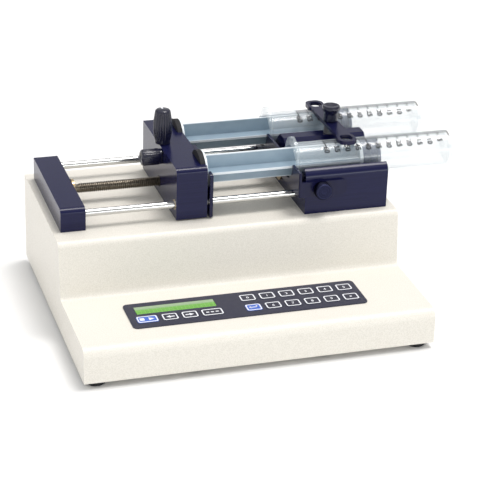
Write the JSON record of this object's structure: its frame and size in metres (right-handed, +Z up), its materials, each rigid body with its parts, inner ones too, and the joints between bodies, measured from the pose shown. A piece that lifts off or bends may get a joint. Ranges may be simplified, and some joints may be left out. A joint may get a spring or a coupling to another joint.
{
  "type": "syringe pump",
  "caption": "Bench syringe pump: stepped case with keypad, screw-driven pusher on guide rods, cradle and clamp holding a pair of syringes side by side.",
  "frame": {"origin": "centre of the whole part's footprint (case and overhanging syringes), on the surface the feet stand on", "axes": "+X from the end block towards the syringe tips, +Y from the keypad towards the back, +Z up"},
  "size_m": [0.3486, 0.23, 0.152],
  "materials": {
    "cream_powder_coat": "satin",
    "black_anodised": "satin",
    "chrome_rod": "polished",
    "steel": "satin",
    "bronze": "satin",
    "black_rubber": "matte",
    "stopper_rubber": "satin",
    "clear_polypropylene": "gloss",
    "plunger_polypropylene": "gloss",
    "black_plastic": "satin",
    "overlay_film": "satin",
    "key_dark": "satin",
    "key_blue": "satin",
    "display_glass": "gloss",
    "circuit_laminate": "matte",
    "belt_rubber": "matte"
  },
  "bodies": {
    "chassis": {"top_cover": "cream_powder_coat", "side_panel_left": "cream_powder_coat", "side_panel_right": "cream_powder_coat", "base_plate": "cream_powder_coat", "rear_panel": "cream_powder_coat", "pan_head_screws": "steel", "rubber_feet": "black_rubber", "power_inlet": "black_plastic", "switch_housing": "black_plastic", "serial_port": "steel", "power_supply": "steel", "circuit_board": "circuit_laminate", "keypad_overlay": "overlay_film", "display_module": "display_glass", "keypad_board": "circuit_laminate", "end_block": "black_anodised", "guide_rods": "chrome_rod", "screw_bushings": "steel", "syringe_holder": "black_anodised", "clamp_stud": "black_plastic", "barrel_front": "clear_polypropylene", "barrel_rear": "clear_polypropylene", "stepper_motor": "steel", "drive_belt": "belt_rubber"},
    "pusher": {"pusher_block": "black_anodised", "rod_bushings": "bronze", "plunger_pads": "black_rubber", "plunger_front": "plunger_polypropylene", "plunger_rear": "plunger_polypropylene", "stopper_front": "stopper_rubber", "stopper_rear": "stopper_rubber"},
    "half_nut_body": {"half_nut": "bronze"},
    "half_nut_knob_body": {"half_nut_knob": "black_plastic"},
    "retainer": {"retainer_plate": "black_anodised"},
    "retainer_knob_body": {"retainer_knob": "black_plastic"},
    "screw": {"lead_screw": "steel", "screw_pulley": "steel"},
    "motor_rotor": {"motor_shaft": "steel", "motor_pulley": "steel"},
    "clamp_bar_body": {"clamp_bar": "black_anodised"},
    "clamp_knob_body": {"clamp_knob": "black_plastic"},
    "bracket": {"flange_bracket": "black_anodised"},
    "bracket_knob_body": {"bracket_knob": "black_plastic"},
    "rocker": {"power_rocker": "black_plastic"},
    "key_run_stop_body": {"key_run_stop": "key_blue"},
    "key_left_body": {"key_left": "key_dark"},
    "key_right_body": {"key_right": "key_dark"},
    "key_select_body": {"key_select": "key_dark"},
    "key_0_body": {"key_0": "key_dark"},
    "key_1_body": {"key_1": "key_dark"},
    "key_2_body": {"key_2": "key_dark"},
    "key_3_body": {"key_3": "key_dark"},
    "key_4_body": {"key_4": "key_dark"},
    "key_5_body": {"key_5": "key_dark"},
    "key_enter_body": {"key_enter": "key_blue"},
    "key_6_body": {"key_6": "key_dark"},
    "key_7_body": {"key_7": "key_dark"},
    "key_8_body": {"key_8": "key_dark"},
    "key_9_body": {"key_9": "key_dark"},
    "key_point_body": {"key_point": "key_dark"}
  },
  "joints": [
    {"name": "pusher_slide", "type": "slide", "parent": "chassis", "child": "pusher", "axis": [1, 0, 0], "range_m": [-0.048, 0.058]},
    {"name": "half_nut_knob_turn", "type": "hinge", "parent": "pusher", "child": "half_nut_knob_body", "pos_m": [-0.07175, 0.0535, 0.123], "axis": [0, 0, 1], "range_deg": [0, 90]},
    {"name": "half_nut_lift", "type": "slide", "parent": "pusher", "child": "half_nut_body", "axis": [0, 0, 1], "range_m": [0, 0.003]},
    {"name": "retainer_knob_turn", "type": "hinge", "parent": "pusher", "child": "retainer_knob_body", "pos_m": [-0.07525, 0.0435, 0.1155], "axis": [-1, 0, 0], "range_deg": [0, 1080]},
    {"name": "retainer_slide", "type": "slide", "parent": "pusher", "child": "retainer", "axis": [1, 0, 0], "range_m": [0, 0.003]},
    {"name": "screw_spin", "type": "hinge", "parent": "chassis", "child": "screw", "pos_m": [-0.04425, 0.0495, 0.0912], "axis": [1, 0, 0], "continuous": true},
    {"name": "motor_spin", "type": "hinge", "parent": "chassis", "child": "motor_rotor", "pos_m": [0.05075, 0.0495, 0.039], "axis": [1, 0, 0], "continuous": true},
    {"name": "clamp_bar_swing", "type": "hinge", "parent": "chassis", "child": "clamp_bar_body", "pos_m": [0.07075, 0.0495, 0.13], "axis": [0, 0, 1], "range_deg": [-90, 90]},
    {"name": "clamp_knob_turn", "type": "hinge", "parent": "chassis", "child": "clamp_knob_body", "pos_m": [0.07075, 0.0495, 0.142], "axis": [0, 0, 1], "range_deg": [0, 720]},
    {"name": "bracket_slide", "type": "slide", "parent": "chassis", "child": "bracket", "axis": [1, 0, 0], "range_m": [-0.003, 0]},
    {"name": "bracket_knob_turn", "type": "hinge", "parent": "chassis", "child": "bracket_knob_body", "pos_m": [0.04135, -0.023, 0.1011], "axis": [0, -1, 0], "range_deg": [0, 360]},
    {"name": "power_rocker_tilt", "type": "hinge", "parent": "chassis", "child": "rocker", "pos_m": [-0.07425, 0.109, 0.041], "axis": [1, 0, 0], "range_deg": [-14, 0]},
    {"name": "key_run_stop_press", "type": "slide", "parent": "chassis", "child": "key_run_stop_body", "axis": [0, 0, -1], "range_m": [0, 0.0004], "stiffness_N_per_m": 1500, "springref_m": -0.0004},
    {"name": "key_left_press", "type": "slide", "parent": "chassis", "child": "key_left_body", "axis": [0, 0, -1], "range_m": [0, 0.0004], "stiffness_N_per_m": 1500, "springref_m": -0.0004},
    {"name": "key_right_press", "type": "slide", "parent": "chassis", "child": "key_right_body", "axis": [0, 0, -1], "range_m": [0, 0.0004], "stiffness_N_per_m": 1500, "springref_m": -0.0004},
    {"name": "key_select_press", "type": "slide", "parent": "chassis", "child": "key_select_body", "axis": [0, 0, -1], "range_m": [0, 0.0004], "stiffness_N_per_m": 1500, "springref_m": -0.0004},
    {"name": "key_0_press", "type": "slide", "parent": "chassis", "child": "key_0_body", "axis": [0, 0, -1], "range_m": [0, 0.0004], "stiffness_N_per_m": 1500, "springref_m": -0.0004},
    {"name": "key_1_press", "type": "slide", "parent": "chassis", "child": "key_1_body", "axis": [0, 0, -1], "range_m": [0, 0.0004], "stiffness_N_per_m": 1500, "springref_m": -0.0004},
    {"name": "key_2_press", "type": "slide", "parent": "chassis", "child": "key_2_body", "axis": [0, 0, -1], "range_m": [0, 0.0004], "stiffness_N_per_m": 1500, "springref_m": -0.0004},
    {"name": "key_3_press", "type": "slide", "parent": "chassis", "child": "key_3_body", "axis": [0, 0, -1], "range_m": [0, 0.0004], "stiffness_N_per_m": 1500, "springref_m": -0.0004},
    {"name": "key_4_press", "type": "slide", "parent": "chassis", "child": "key_4_body", "axis": [0, 0, -1], "range_m": [0, 0.0004], "stiffness_N_per_m": 1500, "springref_m": -0.0004},
    {"name": "key_5_press", "type": "slide", "parent": "chassis", "child": "key_5_body", "axis": [0, 0, -1], "range_m": [0, 0.0004], "stiffness_N_per_m": 1500, "springref_m": -0.0004},
    {"name": "key_enter_press", "type": "slide", "parent": "chassis", "child": "key_enter_body", "axis": [0, 0, -1], "range_m": [0, 0.0004], "stiffness_N_per_m": 1500, "springref_m": -0.0004},
    {"name": "key_6_press", "type": "slide", "parent": "chassis", "child": "key_6_body", "axis": [0, 0, -1], "range_m": [0, 0.0004], "stiffness_N_per_m": 1500, "springref_m": -0.0004},
    {"name": "key_7_press", "type": "slide", "parent": "chassis", "child": "key_7_body", "axis": [0, 0, -1], "range_m": [0, 0.0004], "stiffness_N_per_m": 1500, "springref_m": -0.0004},
    {"name": "key_8_press", "type": "slide", "parent": "chassis", "child": "key_8_body", "axis": [0, 0, -1], "range_m": [0, 0.0004], "stiffness_N_per_m": 1500, "springref_m": -0.0004},
    {"name": "key_9_press", "type": "slide", "parent": "chassis", "child": "key_9_body", "axis": [0, 0, -1], "range_m": [0, 0.0004], "stiffness_N_per_m": 1500, "springref_m": -0.0004},
    {"name": "key_point_press", "type": "slide", "parent": "chassis", "child": "key_point_body", "axis": [0, 0, -1], "range_m": [0, 0.0004], "stiffness_N_per_m": 1500, "springref_m": -0.0004}
  ],
  "couplings": [
    {"joint": "half_nut_knob_turn", "follows": "half_nut_lift", "rad_per_m": 523.6},
    {"joint": "retainer_knob_turn", "follows": "retainer_slide", "rad_per_m": 6283.2},
    {"joint": "motor_spin", "follows": "screw_spin", "ratio": 1.4545}
  ]
}
